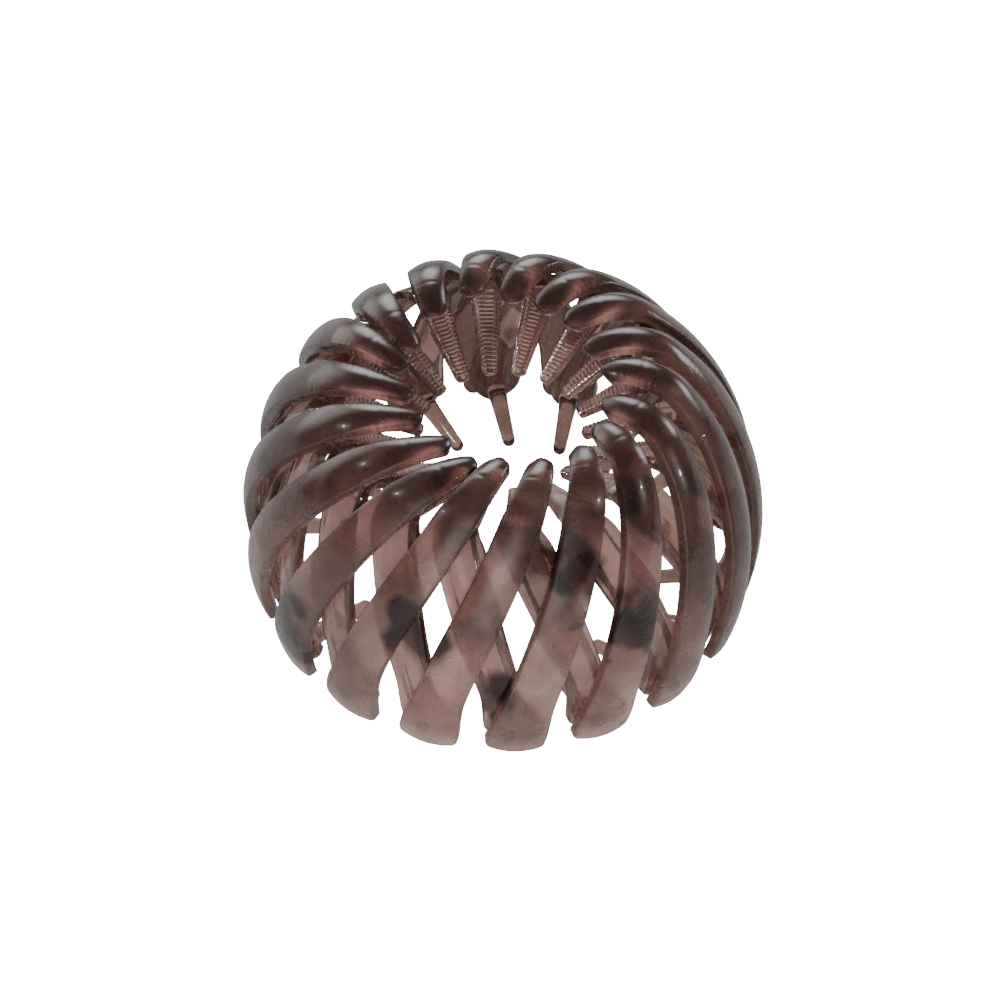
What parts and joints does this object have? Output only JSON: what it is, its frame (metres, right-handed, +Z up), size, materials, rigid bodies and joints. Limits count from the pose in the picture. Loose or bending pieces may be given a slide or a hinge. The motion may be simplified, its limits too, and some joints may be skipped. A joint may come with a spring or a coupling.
{
  "type": "expandable nest hair clip",
  "caption": "Springy ring of crossed curved plastic blades that curl in over the top, with comb teeth and prongs inside, pivoted together round an open middle that holds a hair bun.",
  "frame": {"origin": "on the floor that the clip stands on, on the axis of the ring", "axes": "+Z up along the ring's axis, from the feet to the curled tips; -Y towards the viewer of the picture, +X to the viewer's right"},
  "size_m": [0.0758, 0.0756, 0.0408],
  "materials": {
    "blade_plastic": "glossy, smoky brown, translucent, with cloudy dark blotches",
    "strip_plastic": "glossy, smoky brown, translucent"
  },
  "bodies": {
    "root": {"outer_blade_01": "blade_plastic", "outer_blade_02": "blade_plastic", "outer_blade_03": "blade_plastic", "outer_blade_04": "blade_plastic", "outer_blade_05": "blade_plastic", "outer_blade_06": "blade_plastic", "outer_blade_07": "blade_plastic", "outer_blade_08": "blade_plastic", "outer_blade_09": "blade_plastic", "outer_blade_10": "blade_plastic", "outer_blade_11": "blade_plastic", "outer_blade_12": "blade_plastic", "outer_blade_13": "blade_plastic", "outer_blade_14": "blade_plastic", "outer_blade_15": "blade_plastic", "outer_blade_16": "blade_plastic", "outer_blade_17": "blade_plastic", "outer_blade_18": "blade_plastic", "inner_strip_01": "strip_plastic", "inner_strip_02": "strip_plastic", "inner_strip_03": "strip_plastic", "inner_strip_04": "strip_plastic", "inner_strip_05": "strip_plastic", "inner_strip_06": "strip_plastic", "inner_strip_07": "strip_plastic", "inner_strip_08": "strip_plastic", "inner_strip_09": "strip_plastic", "inner_strip_10": "strip_plastic", "inner_strip_11": "strip_plastic", "inner_strip_12": "strip_plastic", "inner_strip_13": "strip_plastic", "inner_strip_14": "strip_plastic", "inner_strip_15": "strip_plastic", "inner_strip_16": "strip_plastic", "inner_strip_17": "strip_plastic", "inner_strip_18": "strip_plastic"}
  },
  "joints": []
}
